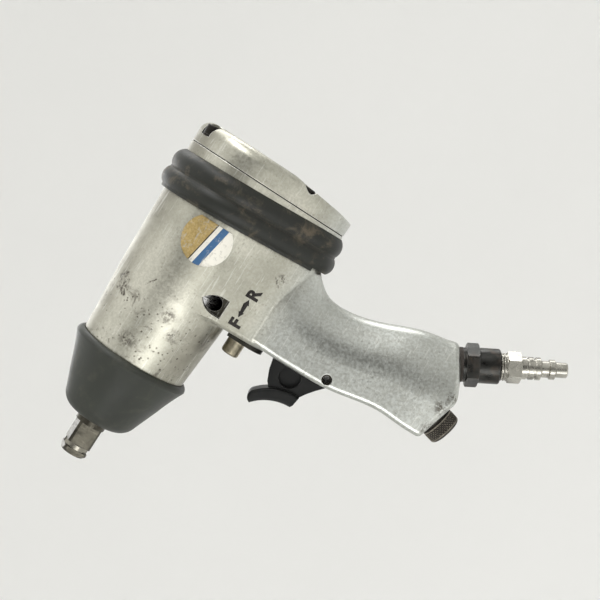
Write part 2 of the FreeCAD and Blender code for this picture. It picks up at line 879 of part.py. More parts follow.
vanes = new_body("rotor_vanes", several=True)
sketch = new_sketch(vanes, "XZ_Plane")
rectangle(sketch, f"{rotor_front} + 0.1", "vane_floor + 0.2", f"{rotor_rear} - 0.1", "rotor_radius - 0.1")
vane = extrude(vanes, sketch, "vane_thickness", both=True)
polar(vanes, [vane], 6)

cylinder = new_body("cylinder")
sketch = new_sketch(cylinder, "YZ_Plane", offset="motor_front + plate_thickness + part_gap / 2")
circle(sketch, "0", "0", "motor_radius - part_gap")
circle(sketch, "0", "rotor_offset", "cylinder_bore")
extrude(cylinder, sketch, "motor_rear - motor_front - 2 * plate_thickness - part_gap")
belt = new_sketch(cylinder, "XZ_Plane")
outline(belt, tube("motor_front + plate_thickness + 1", "135", "motor_radius - 1.4", "motor_radius + 1"))
revolve(cylinder, belt, "Groove")
sketch = new_sketch(cylinder, "XZ_Plane")
circle(sketch, "116", "-6", "2")
port = extrude(cylinder, sketch, "40", "Pocket", back=True)
row = cylinder.newObject("PartDesign::LinearPattern", "LinearPattern")
row.Originals = [port]
row.Direction = (origin_part(cylinder, "X_Axis"), [""])
row.Length = 15
row.Occurrences = 4
finish(cylinder, row)
dowel_hole = "dowel_radius + running_gap"
bore(cylinder, "motor_rear - plate_thickness - 5", "motor_rear", dowel_hole, z="-dowel_height")


def end_plate(label, front, shaft_side, pocket_side):
    """A motor end plate: shaft hole on the rotor's side, bearing pocket on the other."""
    body = new_body(label)
    sketch = new_sketch(body, "YZ_Plane", offset=front)
    circle(sketch, "0", "0", "motor_radius - part_gap / 2")
    extrude(body, sketch, "plate_thickness")
    bore(body, f"{front} - 1", f"{front} + plate_thickness + 1", "rotor_shaft + 0.3")
    bore(body, shaft_side, pocket_side, "bearing_outer")
    return body


end_plate("front_end_plate", "motor_front", "motor_front + plate_thickness - 1", "motor_front - 1")
rear_plate = end_plate(
    "rear_end_plate", "motor_rear - plate_thickness", "motor_rear - plate_thickness + 1", "motor_rear + 1"
)
bore(rear_plate, "motor_rear - plate_thickness - 1", "motor_rear - 2", dowel_hole, z="-dowel_height")
turned("alignment_dowel", rod("motor_rear - plate_thickness - 4.8", "motor_rear - 2.2", "dowel_radius"))
place(NODES[-1], z="-dowel_height")


def bearing(name, front):
    """A deep-groove ball bearing in three pieces: outer race, inner race and balls."""
    centre = f"{front} + bearing_width / 2"
    races = (
        ("outer_race", "ball_pitch + 1.5", "bearing_outer"),
        ("inner_race", "rotor_shaft + 0.01", "ball_pitch - 1.5"),
    )
    for piece, inner, outer in races:
        race = turned(f"{name}_bearing_{piece}", tube(front, f"{front} + bearing_width", inner, outer))
        track = new_sketch(race, "XZ_Plane")
        circle(track, centre, "ball_pitch", "ball_radius + 0.05")
        revolve(race, track, "Groove")
    balls = new_body(f"{name}_bearing_balls", several=True)
    half = new_sketch(balls, "XZ_Plane", at=(centre, "ball_pitch"))
    outline(
        half,
        [("ball_radius", "0"), ("0", "ball_radius", "ball_radius"), ("-ball_radius", "0", "ball_radius")],
    )
    ball = revolve(balls, half)
    polar(balls, [ball], 8)


bearing("front", "(motor_front + 0.9)")
bearing("rear", "(motor_rear - 7.9)")

# ------------------------------------------------------------------ reverse valve

bushing = turned(
    "reverse_bushing",
    tube("step + 0.1", "134", "reverse_spool_radius + running_gap", "reverse_bore"),
)
place(bushing, z="-chin_drop")
for height, port_radius, stations in (("2", "2.4", ("104", "130")), ("-12", "2.4", ("119",))):
    sketch = new_sketch(bushing, "XY_Plane", offset=height)
    for station in stations:
        circle(sketch, station, "0", port_radius)
    extrude(bushing, sketch, "10", "Pocket", back=True)
sketch = new_sketch(bushing, "XZ_Plane")
circle(sketch, "stop_screw_x", "0", "1.4")
extrude(bushing, sketch, "12", "Pocket")

turned(
    "reverse_spool",
    [
        ("knob_front", "0"),
        ("126", "0"),
        ("126", "reverse_spool_radius"),
        ("124.8", "reverse_spool_radius"),
        ("124.8", "spool_seal_floor"),
        ("123.3", "spool_seal_floor"),
        ("123.3", "reverse_spool_radius"),
        ("121.5", "reverse_spool_radius"),
        ("121.5", "3.4"),
        ("114.5", "3.4"),
        ("114.5", "reverse_spool_radius"),
        ("stop_screw_x + 1.4", "reverse_spool_radius"),
        ("stop_screw_x + 1.4", "3.8"),
        ("stop_screw_x - 1.4 - reverse_travel", "3.8"),
        ("stop_screw_x - 1.4 - reverse_travel", "reverse_spool_radius"),
        ("101.9", "reverse_spool_radius"),
        ("101.9", "spool_seal_floor"),
        ("100.4", "spool_seal_floor"),
        ("100.4", "reverse_spool_radius"),
        ("99.2", "reverse_spool_radius"),
        ("98.6", "reverse_knob_radius"),
        ("knob_front + 1.2", "reverse_knob_radius"),
        ("knob_front", "reverse_knob_radius - 1.2", "1.5"),
    ],
)
place(NODES[-1], z="-chin_drop")
seals = new_body("reverse_spool_seals", several=True)
for station in ("101.15", "124.05"):
    sketch = new_sketch(seals, "XZ_Plane")
    circle(sketch, station, "spool_seal_floor + 0.64", "0.62")
    revolve(seals, sketch)
place(seals, z="-chin_drop")

stop = new_body("reverse_stop_screw")
for start, radius, length in (("4.2", "1.2", "6"), ("8.4", "2", "8.4")):
    sketch = new_sketch(stop, "XZ_Plane", offset=f"-({start})")
    circle(sketch, "stop_screw_x", "-chin_drop", radius)
    extrude(stop, sketch, length, back=True)
sketch = new_sketch(stop, "XZ_Plane", offset="-15")
hexagon(sketch, "stop_screw_x", "-chin_drop", "1")
extrude(stop, sketch, "4", "Pocket", back=True)

plate = new_body("reverse_retainer_plate")
sketch = new_sketch(plate, "YZ_Plane", offset="step - retainer_thickness")
outline(
    sketch,
    [
        ("-11", "-34.4"),
        ("-11", "-43.6"),
        ("0", "-54.6", "11"),
        ("11", "-43.6", "11"),
        ("11", "-34.4"),
    ],
)
circle(sketch, "0", "-chin_drop", "reverse_knob_radius + 0.1")
extrude(plate, sketch, "retainer_thickness - 0.02")

# ------------------------------------------------------------------ throttle valve

throttle_bushing = turned(
    "throttle_bushing",
    [
        ("throttle_front + 0.2", "stem_radius + running_gap"),
        ("117", "stem_radius + running_gap"),
        ("117", "4.4"),
        ("122.5", "4.4"),
        ("122.5", "throttle_bore"),
        ("throttle_front + 0.2", "throttle_bore"),
    ],
)
place(throttle_bushing, z="throttle_z")
sketch = new_sketch(throttle_bushing, "XY_Plane")
circle(sketch, "119.5", "0", "2")
extrude(throttle_bushing, sketch, "10", "Pocket", back=True)
turned(
    "throttle_stem",
    [
        ("stem_front", "0"),
        ("128.4", "0"),
        ("128.4", "1.8"),
        ("126.4", "1.8"),
        ("126.4", "5.2"),
        ("123.6", "5.2"),
        ("123.6", "2"),
        ("117.5", "2"),
        ("117", "stem_radius"),
        ("stem_front + 0.4", "stem_radius"),
        ("stem_front", "stem_radius - 0.4"),
    ],
)
place(NODES[-1], z="throttle_z")
turned("throttle_valve_seal", tube("122.55", "123.55", "2.05", "5.6"))
place(NODES[-1], z="throttle_z")

spring = new_body("throttle_spring")
sketch = new_sketch(spring, "XZ_Plane")
circle(sketch, "spring_front + spring_wire", "3.6", "spring_wire")
coil = spring.newObject("PartDesign::AdditiveHelix", "Coil")
coil.Profile = sketch
coil.ReferenceAxis = (sketch, ["H_Axis"])
coil.Mode = "pitch-height-angle"
coil.Pitch = 1.8
coil.Height = 5.4
coil.HasBeenEdited = True
finish(spring, coil)
place(spring, z="throttle_z")

# ------------------------------------------------------------------ trigger

trigger = new_body("trigger")
sketch = new_sketch(trigger, "XZ_Plane")
outline(
    sketch,
    [
        ("78.6", "-60.5", "28"),
        ("72.3", "-62.5", "3.9"),
        ("81.5", "-81.1", "-25.6"),
        ("83.2", "-82.0"),
        ("88.2", "-82.7"),
    ],
)
extrude(trigger, sketch, "trigger_width", both=True)


def on_blade(edge):
    """Whether an edge runs along the outline of one of the blade's two sides."""
    return edge.BoundBox.YMax - edge.BoundBox.YMin < 1 and edge.Length > 6


dress(trigger, "Fillet", "1.4", on_blade)
sketch = new_sketch(trigger, "XZ_Plane")
outline(
    sketch,
    [
        ("82.5", "-70"),
        ("88.0", "-82.6"),
        ("91.5", "-84.8"),
        ("95.3", "-87.7"),
        ("99.3", "-91.2"),
        ("pivot_x", "pivot_z - 4"),
        ("pivot_x + 3.5", "pivot_z"),
        ("107.0", "-78"),
        ("106.0", "throttle_z"),
        ("103.5", "-62.2"),
        ("97.5", "-60.7"),
        ("91.5", "-62.2"),
        ("86.5", "-64.4"),
        ("83.5", "-67.0"),
    ],
)
extrude(trigger, sketch, "web_width", both=True)
sketch = new_sketch(trigger, "XZ_Plane")
circle(sketch, "pivot_x", "pivot_z", "pivot_radius + 2.8")
extrude(trigger, sketch, "web_width", both=True)
sketch = new_sketch(trigger, "XZ_Plane")
circle(sketch, "stem_front - 0.1 - trigger_nose", "throttle_z", "trigger_nose")
extrude(trigger, sketch, "web_width", both=True)
sketch = new_sketch(trigger, "XZ_Plane")
circle(sketch, "pivot_x", "pivot_z", "pivot_radius + 0.06")
extrude(trigger, sketch, "40", "Pocket", both=True)
for side, back in (("2.2", False), ("-2.2", True)):
    sketch = new_sketch(trigger, "XZ_Plane", offset=side)
    circle(sketch, "94.2", "-73", "5.8")
    extrude(trigger, sketch, "10", "Pocket", back=not back)

pin = new_body("trigger_pin")
sketch = new_sketch(pin, "XZ_Plane")
circle(sketch, "pivot_x", "pivot_z", "pivot_radius - 0.02")
circle(sketch, "pivot_x", "pivot_z", "pivot_radius - 1")
extrude(pin, sketch, "pin_length", both=True)
sketch = new_sketch(pin, "XZ_Plane")
rectangle(sketch, "pivot_x - 5", "pivot_z - 0.5", "pivot_x", "pivot_z + 0.5")
extrude(pin, sketch, "40", "Pocket", both=True)

# ------------------------------------------------------------------ air regulator

knob = turned(
    "regulator_knob",
    [
        ("0.4", "4.8"),
        ("1.4", "4.8"),
        ("1.4", "3.05"),
        ("8.2", "3.05"),
        ("8.2", "0"),
        ("10.5", "0"),
        ("10.1", "7.4"),
        ("8.8", "9.25", "3"),
        ("2.9", "9.25"),
        ("2.4", "8.7"),
        ("2.4", "7.9"),
        ("0.4", "7.9"),
    ],
)
stem = turned(
    "regulator_stem",
    [
        ("-29", "0"),
        ("8", "0"),
        ("8", "3"),
        ("1.3", "3"),
        ("1.3", "regulator_bore"),
        ("-5", "regulator_bore"),
        ("-5", "3.3"),
        ("-6.6", "3.3"),
        ("-6.6", "regulator_bore"),
        ("-24", "regulator_bore"),
        ("-24", "2.8"),
        ("-28", "2.8"),
        ("-29", "1.6"),
    ],
)
seal = new_body("regulator_seal")
sketch = new_sketch(seal, "XZ_Plane")
circle(sketch, "-5.8", "3.92", "0.58")
revolve(seal, sketch)
for piece in (knob, stem, seal):
    place(piece, "regulator_x", "0", "regulator_z", "regulator_angle")

# ------------------------------------------------------------------ air inlet


def hex_bar(body, front, rear, flats):
    """A hexagonal length whose corners are turned off at both ends."""
    sketch = new_sketch(body, "YZ_Plane", offset=front)
    hexagon(sketch, "0", "0", f"{flats} / 2")
    extrude(body, sketch, f"{rear} - {front}")
    corner = f"({flats} / 2 / cos(30))"
    for station, step in ((front, "1"), (rear, "-1")):
        sketch = new_sketch(body, "XZ_Plane")
        outline(
            sketch,
            [
                (station, f"{corner} - 0.8"),
                (f"{station} + {step} * 0.5", f"{corner} + 0.1"),
                (station, f"{corner} + 0.1"),
            ],
        )
        revolve(body, sketch, "Groove")


adapter = turned(
    "inlet_adapter",
    [
        ("-21", "4.5"),
        ("9.2", "4.5"),
        ("9.2", "plug_thread + 0.03"),
        ("20", "plug_thread + 0.03"),
        ("20", "8.7"),
        ("19.4", "9.15"),
        ("8", "9.15"),
        ("8", "8.9"),
        ("0.95", "8.9"),
        ("0.95", "inlet_bore"),
        ("-20.4", "inlet_bore"),
        ("-21", "inlet_bore - 0.6"),
    ],
)
hex_bar(adapter, "2.6", "9", "19.8")
sketch = new_sketch(adapter, "XZ_Plane")
outline(sketch, rod("0", "9.2", "4.5"))
revolve(adapter, sketch, "Groove")

washer = turned("inlet_washer", tube("inlet_seat + 0.02", "0.9", "inlet_bore + 0.1", "9"))
screen = turned(
    "inlet_screen",
    [
        ("-20.5", "0"),
        ("-20", "0"),
        ("-20", "3.9"),
        ("-6", "3.9"),
        ("-6", "4.45"),
        ("-20.5", "4.45"),
    ],
)

plug = turned(
    "air_plug",
    [
        ("9.6", "plug_bore"),
        ("55", "plug_bore"),
        ("55", "3.5"),
        ("54.4", "plug_tip"),
        ("49", "plug_tip"),
        ("48.4", "5.15"),
        ("45.8", "5.15"),
        ("45.2", "4.3"),
        ("41.7", "4.3"),
        ("41", "5.85"),
        ("38.6", "5.85"),
        ("38.6", "5.2"),
        ("37.4", "5.2"),
        ("37.4", "5.85"),
        ("34.9", "5.85"),
        ("34.9", "5.2"),
        ("33.7", "5.2"),
        ("33.7", "5.85"),
        ("30", "5.85"),
        ("30", "plug_thread"),
        ("10.4", "plug_thread"),
        ("9.6", "plug_thread - 0.8"),
    ],
)
hex_bar(plug, "24", "31", "14.3")
sketch = new_sketch(plug, "XZ_Plane")
outline(sketch, rod("20", "35", "plug_bore"))
revolve(plug, sketch, "Groove")
for piece in (adapter, washer, screen, plug):
    place(piece, "inlet_x", "0", "inlet_z", "inlet_angle")

# ------------------------------------------------------------------ label on the barrel's side

label = new_body("label", several=True)
slope = "(rear_radius - step_radius) / (housing_rear - step)"
surface = "step_radius + ({0} - step) * " + slope
sketch = new_sketch(label, "XZ_Plane")
outline(
    sketch,
    [
        ("115", surface.format("115") + " + 0.05"),
        ("147", surface.format("147") + " + 0.05"),
        ("147", surface.format("147") + " + 0.3"),
        ("115", surface.format("115") + " + 0.3"),
    ],
)
revolve(label, sketch)
sketch = new_sketch(label, "XZ_Plane")
rectangle(sketch, "100", "-60", "160", "60")
outline(
    sketch,
    [
        ("label_x", "label_z + label_radius", "label_radius"),
        ("label_x - label_radius", "label_z", "label_radius"),
        ("label_x", "label_z - label_radius", "label_radius"),
        ("label_edge", "label_z - sqrt(label_radius^2 - (label_edge - label_x)^2)", "label_radius"),
        ("label_edge", "label_z + sqrt(label_radius^2 - (label_edge - label_x)^2)"),
    ],
)
extrude(label, sketch, "100", "Pocket", both=True)
sketch = new_sketch(label, "XZ_Plane")
rectangle(sketch, "100", "-60", "160", "60")
extrude(label, sketch, "60", "Pocket")

# ------------------------------------------------------------------ checks and files

doc.recompute()
for item in doc.Objects:
    if "Invalid" in item.State or "Error" in item.State:
        raise RuntimeError(f"{item.Label} ({item.Name}) failed: {item.State}")
for node in NODES:
    if node.Shape.isNull() or not node.Shape.isValid():
        raise RuntimeError(f"{node.Label} has no valid shape")

os.makedirs("parts", exist_ok=True)
for node in NODES:
    node.Shape.exportStep(f"parts/{node.Label}.step")
    print(f"{node.Label}: {len(node.Shape.Solids)} solid(s), {node.Shape.Volume:.0f} mm3")
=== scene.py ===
import json
import math
import bmesh
import bpy
from mathutils import Matrix, Vector
from mathutils.bvhtree import BVHTree


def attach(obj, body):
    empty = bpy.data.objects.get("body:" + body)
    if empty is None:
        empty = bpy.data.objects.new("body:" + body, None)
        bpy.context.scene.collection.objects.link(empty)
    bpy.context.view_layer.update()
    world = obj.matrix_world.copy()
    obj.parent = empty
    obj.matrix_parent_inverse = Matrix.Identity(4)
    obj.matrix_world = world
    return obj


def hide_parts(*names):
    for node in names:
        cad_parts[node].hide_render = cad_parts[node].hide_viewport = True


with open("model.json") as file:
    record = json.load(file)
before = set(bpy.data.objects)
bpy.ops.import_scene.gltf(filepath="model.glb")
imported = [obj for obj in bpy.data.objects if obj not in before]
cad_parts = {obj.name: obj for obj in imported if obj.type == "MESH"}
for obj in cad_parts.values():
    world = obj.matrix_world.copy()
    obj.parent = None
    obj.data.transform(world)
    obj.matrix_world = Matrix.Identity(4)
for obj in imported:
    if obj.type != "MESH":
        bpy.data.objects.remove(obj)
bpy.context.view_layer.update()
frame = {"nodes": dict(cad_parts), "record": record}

NODES = frame["nodes"]
MM = 0.001
ROOT = "housing_assembly"
MIX_A = 6
MIX_B = 7
MIX_COLOUR = 2
NORMAL_SAMPLES = 6


# ---------------------------------------------------------------- materials

class Finish:
    """A material's node graph. Places are in metres in the object's own frame."""

    def __init__(self, name):
        self.material = bpy.data.materials.new(name)
        self.material.use_nodes = True
        self.tree = self.material.node_tree
        self.shader = self.tree.nodes["Principled BSDF"]
        self.place = self.new("ShaderNodeTexCoord").outputs["Object"]

    def new(self, kind, **settings):
        """A new node with its settings."""
        node = self.tree.nodes.new(kind)
        for key, value in settings.items():
            setattr(node, key, value)
        return node

    def put(self, socket, value):
        """Links a socket, or sets it where value is a plain number, vector or colour."""
        if isinstance(value, bpy.types.NodeSocket):
            self.tree.links.new(value, socket)
        elif isinstance(value, (tuple, list)) and len(value) == 3 and socket.type == "RGBA":
            socket.default_value = (*value, 1.0)
        else:
            socket.default_value = value

    def set(self, **values):
        """Sets the shader's sockets: base_color becomes Base Color, and so on."""
        for key, value in values.items():
            self.put(self.shader.inputs[SHADER_SOCKETS[key]], value)

    def stretched(self, x, y, z):
        """The place, scaled along each axis, for streaks and brushed lines."""
        node = self.new("ShaderNodeVectorMath", operation="MULTIPLY")
        self.put(node.inputs[0], self.place)
        node.inputs[1].default_value = (x, y, z)
        return node.outputs[0]

    def noise(self, scale, detail=4.0, roughness=0.55, distortion=0.0, at=None):
        """Cloudy noise of 0..1, at the object's own place or at another."""
        node = self.new("ShaderNodeTexNoise")
        self.put(node.inputs["Vector"], at or self.place)
        node.inputs["Scale"].default_value = scale
        node.inputs["Detail"].default_value = detail
        node.inputs["Roughness"].default_value = roughness
        node.inputs["Distortion"].default_value = distortion
        return node.outputs["Fac"]

    def cells(self, scale):
        """The distance to the nearest of many scattered points, for pits."""
        node = self.new("ShaderNodeTexVoronoi")
        self.put(node.inputs["Vector"], self.place)
        node.inputs["Scale"].default_value = scale
        return node.outputs["Distance"]

    def ramp(self, value, low, high, start=0.0, end=1.0):
        """value mapped smoothly from low..high to start..end."""
        node = self.new("ShaderNodeMapRange", interpolation_type="SMOOTHSTEP")
        self.put(node.inputs["Value"], value)
        node.inputs["From Min"].default_value = low
        node.inputs["From Max"].default_value = high
        node.inputs["To Min"].default_value = start
        node.inputs["To Max"].default_value = end
        return node.outputs["Result"]

    def math(self, operation, a, b=0.0):
        """Two numbers joined by a named operation."""
        node = self.new("ShaderNodeMath", operation=operation)
        self.put(node.inputs[0], a)
        self.put(node.inputs[1], b)
        return node.outputs[0]

    def mix(self, share, a, b):
        """Colour a where share is 0, colour b where it is 1."""
        node = self.new("ShaderNodeMix", data_type="RGBA")
        self.put(node.inputs["Factor"], share)
        self.put(node.inputs[MIX_A], a)
        self.put(node.inputs[MIX_B], b)
        return node.outputs[MIX_COLOUR]

    def near(self, centre, inner, outer, squash=(1.0, 1.0, 1.0)):
        """1 within inner of centre, falling to 0 at outer, both in millimetres."""
        offset = self.new("ShaderNodeVectorMath", operation="SUBTRACT")
        self.put(offset.inputs[0], self.place)
        offset.inputs[1].default_value = Vector(centre) * MM
        scaled = self.new("ShaderNodeVectorMath", operation="MULTIPLY")
        self.put(scaled.inputs[0], offset.outputs[0])
        scaled.inputs[1].default_value = squash
        length = self.new("ShaderNodeVectorMath", operation="LENGTH")
        self.put(length.inputs[0], scaled.outputs[0])
        return self.ramp(length.outputs["Value"], inner * MM, outer * MM, 1.0, 0.0)

    def stroke(self, start, end, width):
        """1 along a line between two places in the X-Z plane, fading over width, in millimetres."""
        run = Vector((end[0] - start[0], 0.0, end[1] - start[1])) * MM
        offset = self.new("ShaderNodeVectorMath", operation="SUBTRACT")
        self.put(offset.inputs[0], self.place)
        offset.inputs[1].default_value = Vector((start[0], 0.0, start[1])) * MM
        flat = self.new("ShaderNodeVectorMath", operation="MULTIPLY")
        self.put(flat.inputs[0], offset.outputs[0])
        flat.inputs[1].default_value = (1.0, 0.0, 1.0)
        along = self.new("ShaderNodeVectorMath", operation="DOT_PRODUCT")
        self.put(along.inputs[0], flat.outputs[0])
        along.inputs[1].default_value = run / run.length_squared
        share = self.new("ShaderNodeClamp")
        self.put(share.inputs["Value"], along.outputs["Value"])
        foot = self.new("ShaderNodeVectorMath", operation="SCALE")
        foot.inputs[0].default_value = run
        self.put(foot.inputs["Scale"], share.outputs[0])
        gap = self.new("ShaderNodeVectorMath", operation="DISTANCE")
        self.put(gap.inputs[0], flat.outputs[0])
        self.put(gap.inputs[1], foot.outputs[0])
        return self.ramp(gap.outputs["Value"], 0.3 * width * MM, width * MM, 1.0, 0.0)

    def edges(self, radius, low=0.02, high=0.25):
        """1 at edges sharper than radius in millimetres, 0 on open faces."""
        round_normal = self.new("ShaderNodeBevel", samples=NORMAL_SAMPLES)
        round_normal.inputs["Radius"].default_value = radius * MM
        flat_normal = self.new("ShaderNodeNewGeometry").outputs["Normal"]
        dot = self.new("ShaderNodeVectorMath", operation="DOT_PRODUCT")
        self.put(dot.inputs[0], round_normal.outputs[0])
        self.put(dot.inputs[1], flat_normal)
        turn = self.math("SUBTRACT", 1.0, dot.outputs["Value"])
        return self.ramp(turn, low, high)

    def hollows(self, reach):
        """1 in creases and corners within reach in millimetres, 0 in the open."""
        node = self.new("ShaderNodeAmbientOcclusion", samples=NORMAL_SAMPLES)
        node.inputs["Distance"].default_value = reach * MM
        return self.ramp(node.outputs["AO"], 0.45, 0.85, 1.0, 0.0)

    def bevel(self, radius):
        """A normal that rounds edges off over radius in millimetres."""
        node = self.new("ShaderNodeBevel", samples=NORMAL_SAMPLES)
        node.inputs["Radius"].default_value = radius * MM
        return node.outputs[0]

    def bump(self, height, depth, strength=1.0, under=None):
        """A normal from a height of 0..1 that stands depth millimetres deep."""
        node = self.new("ShaderNodeBump")
        self.put(node.inputs["Height"], height)
        node.inputs["Distance"].default_value = depth * MM
        node.inputs["Strength"].default_value = strength
        if under is not None:
            self.put(node.inputs["Normal"], under)
        return node.outputs["Normal"]


GRIME = (
    ((101.0, -20.0, -19.0), 2.0, 7.0),
    ((118.0, -18.0, -31.0), 0.5, 4.0),
    ((135.0, -16.0, -42.0), 1.0, 4.5),
    ((124.0, -18.0, -144.5), 1.0, 6.0),
    ((111.0, -17.5, -145.0), 1.0, 6.0),
    ((131.0, -17.5, -146.5), 1.0, 5.0),
    ((150.0, -22.0, -24.0), 1.0, 5.0),
    ((69.5, -28.0, 5.5), 1.5, 7.0),
    ((90.0, -29.0, -5.0), 1.0, 6.0),
    ((82.0, -29.0, -12.0), 0.5, 5.0),
)
# Painted shade: centre in millimetres of a near-black disc over the exhaust recess.
RECESS_SHADE_CENTRE = (106.7, -17.5, -20.6)
DENT_CENTRE = (91.5, -19.0, 23.0)
DENT_SQUASH = (0.8, 0.3, 1.4)
BARE_METAL = (0.80, 0.80, 0.76)
# Near-black colour of the painted shade in the exhaust recess.
RECESS_SHADE = (0.020, 0.016, 0.011)
OILY_DIRT = (0.060, 0.050, 0.036)
GOUGES = (
    ((86.5, 21.0), (95.5, 25.0), 1.9),
    ((87.5, 24.5), (94.5, 21.5), 1.4),
    ((90.0, 20.0), (92.5, 25.8), 1.2),
    ((86.5, 19.5), (90.5, 23.0), 1.1),
    ((93.0, 26.5), (96.5, 23.5), 0.9),
    ((97.0, 13.0), (102.0, 9.5), 0.6),
    ((130.0, -43.0), (134.0, -39.5), 0.9),
    ((128.0, -46.5), (131.0, -44.5), 0.7),
)
SHADER_SOCKETS = {
    "base_color": "Base Color",
    "metallic": "Metallic",
    "roughness": "Roughness",
    "normal": "Normal",
    "specular": "Specular IOR Level",
}


def cast_aluminium(name, dirt=1.0):
    """Tumbled aluminium casting: satin, with fine grit, and pits and grime where it is knocked about, with
    painted shade on the barrel's top and underside, in its creases and in the exhaust recess.
    """
    f = Finish(name)
    apart = f.new("ShaderNodeSeparateXYZ")
    f.put(apart.inputs[0], f.place)
    x, y, z = apart.outputs
    front = f.ramp(x, 0.086, 0.104, 1.0, 0.0)
    grip = f.ramp(z, -0.060, -0.036, 1.0, 0.0)
    cloudy = f.noise(28.0, 4.0, 0.55)
    grit = f.noise(2600.0, 2.0, 0.6)
    rough_cast = f.noise(750.0, 4.0, 0.65)
    tone = f.mix(f.ramp(cloudy, 0.35, 0.65), (0.36, 0.355, 0.30), (0.52, 0.51, 0.44))
    # Painted shade: the barrel's top and the front's underside are darkened by height, broken by noise.
    front_under_shade = f.math("MULTIPLY", front, f.ramp(z, -0.010, -0.026))
    top_under_shade = f.math("MAXIMUM", f.ramp(z, 0.017, 0.029), front_under_shade)
    top_under_shade = f.math("MULTIPLY", top_under_shade, f.ramp(f.noise(60.0, 6.0, 0.7, 0.4), 0.30, 0.62, 0.35, 0.90))
    tone = f.mix(top_under_shade, tone, (0.20, 0.19, 0.155))
    smooth = f.mix(grip, tone, (0.47, 0.485, 0.46))
    valleys = f.math("MULTIPLY", f.ramp(rough_cast, 0.40, 0.62, 1.0, 0.0), 0.30)
    grain = f.mix(valleys, smooth, (0.24, 0.23, 0.185))
    clusters = f.ramp(f.noise(150.0, 4.0, 0.65), 0.46, 0.56)
    speck = f.math("MULTIPLY", f.ramp(f.cells(430.0), 0.14, 0.30, 1.0, 0.0), clusters)
    speck = f.math("MULTIPLY", speck, f.math("ADD", 0.22, f.math("MULTIPLY", front, 0.78)))
    pitted = f.mix(f.math("MULTIPLY", speck, 0.85), grain, (0.055, 0.045, 0.032))
    blotch = f.ramp(f.noise(75.0, 8.0, 0.75, 0.6), 0.53, 0.68)
    blotch = f.math("MULTIPLY", blotch, f.math("ADD", 0.15, f.math("MULTIPLY", front, 0.60)))
    broken = f.ramp(f.noise(520.0, 4.0, 0.7), 0.40, 0.60)
    patch = f.near(DENT_CENTRE, 1.0, 6.0, DENT_SQUASH)
    for centre, inner, outer in GRIME:
        patch = f.math("MAXIMUM", patch, f.near(centre, inner, outer))
    patch = f.math("MULTIPLY", patch, f.math("MULTIPLY", broken, 0.9))
    marks = None
    for start, end, width in GOUGES:
        mark = f.stroke(start, end, width)
        marks = mark if marks is None else f.math("MAXIMUM", marks, mark)
    near_side = f.ramp(y, -0.012, -0.020)
    marks = f.math("MULTIPLY", marks, f.math("MULTIPLY", broken, near_side))
    grime = f.math("MULTIPLY", f.math("MAXIMUM", f.math("MAXIMUM", blotch, patch), marks), dirt)
    # Painted shade: the exhaust recess darkened to near black, laid over the dirt.
    recess_shade = f.near(RECESS_SHADE_CENTRE, 7.0, 9.0)
    dirt_and_recess_shade = f.mix(f.math("MULTIPLY", recess_shade, 0.9), f.mix(grime, pitted, OILY_DIRT), RECESS_SHADE)
    # Painted shade: creases and corners darkened by occlusion, with dirt packed in them, broken by noise.
    crease_shade_and_dirt = f.math("MULTIPLY", f.hollows(2.2), f.math("ADD", 0.35, f.math("MULTIPLY", broken, 0.5)))
    crease_shaded = f.mix(crease_shade_and_dirt, dirt_and_recess_shade, (0.045, 0.038, 0.028))
    fine = f.ramp(f.noise(220.0, 3.0, 0.5, 0.4, at=f.stretched(0.35, 1.0, 6.0)), 0.62, 0.66)
    colour = f.mix(f.math("MULTIPLY", fine, 0.22), crease_shaded, BARE_METAL)
    worn = f.math("MULTIPLY", f.edges(0.9), 0.55)
    texture = f.math("ADD", f.math("MULTIPLY", grit, 0.25), f.math("MULTIPLY", rough_cast, 0.45))
    height = f.math("SUBTRACT", texture, f.math("MULTIPLY", speck, 1.1))
    height = f.math("SUBTRACT", height, f.math("MULTIPLY", marks, 1.4))
    rough = f.ramp(rough_cast, 0.3, 0.75, 0.33, 0.46)
    f.set(
        base_color=f.mix(worn, colour, BARE_METAL),
        metallic=f.math("SUBTRACT", 0.92, f.math("MULTIPLY", grime, 0.6)),
        roughness=f.math("ADD", rough, f.math("MULTIPLY", grip, -0.05)),
        normal=f.bump(height, 0.09, 0.75, f.bevel(0.6)),
    )
    return f


def rubber(name, base, dust, dusty=0.35, depth=0.05):
    """Moulded rubber, rubbed on its edges and dusty in its grooves."""
    f = Finish(name)
    cloudy = f.noise(45.0, 4.0, 0.6)
    fine = f.noise(1100.0, 3.0, 0.6)
    body = f.mix(f.ramp(cloudy, 0.3, 0.7), base, tuple(c * 1.35 for c in base))
    powder = f.math("MULTIPLY", f.ramp(f.noise(90.0, 7.0, 0.72, 0.4), 0.50, 0.72), dusty)
    packed = f.ramp(f.noise(160.0, 5.0, 0.7), 0.38, 0.60, 0.15, 0.75)
    grooves = f.math("MULTIPLY", f.hollows(5.0), packed)
    dusted = f.mix(f.math("MAXIMUM", powder, grooves), body, dust)
    patchy = f.ramp(f.noise(300.0, 4.0, 0.7), 0.45, 0.62, 0.1, 0.8)
    nicks = f.math("MULTIPLY", f.edges(1.2, 0.02, 0.16), patchy)
    height = f.math("ADD", f.math("MULTIPLY", fine, 0.6), f.math("MULTIPLY", cloudy, 0.4))
    f.set(
        base_color=f.mix(nicks, dusted, tuple(c * 2.4 + 0.01 for c in base)),
        roughness=f.ramp(cloudy, 0.3, 0.7, 0.42, 0.56),
        specular=0.32,
        normal=f.bump(height, depth, 0.6, f.bevel(0.5)),
    )
    return f


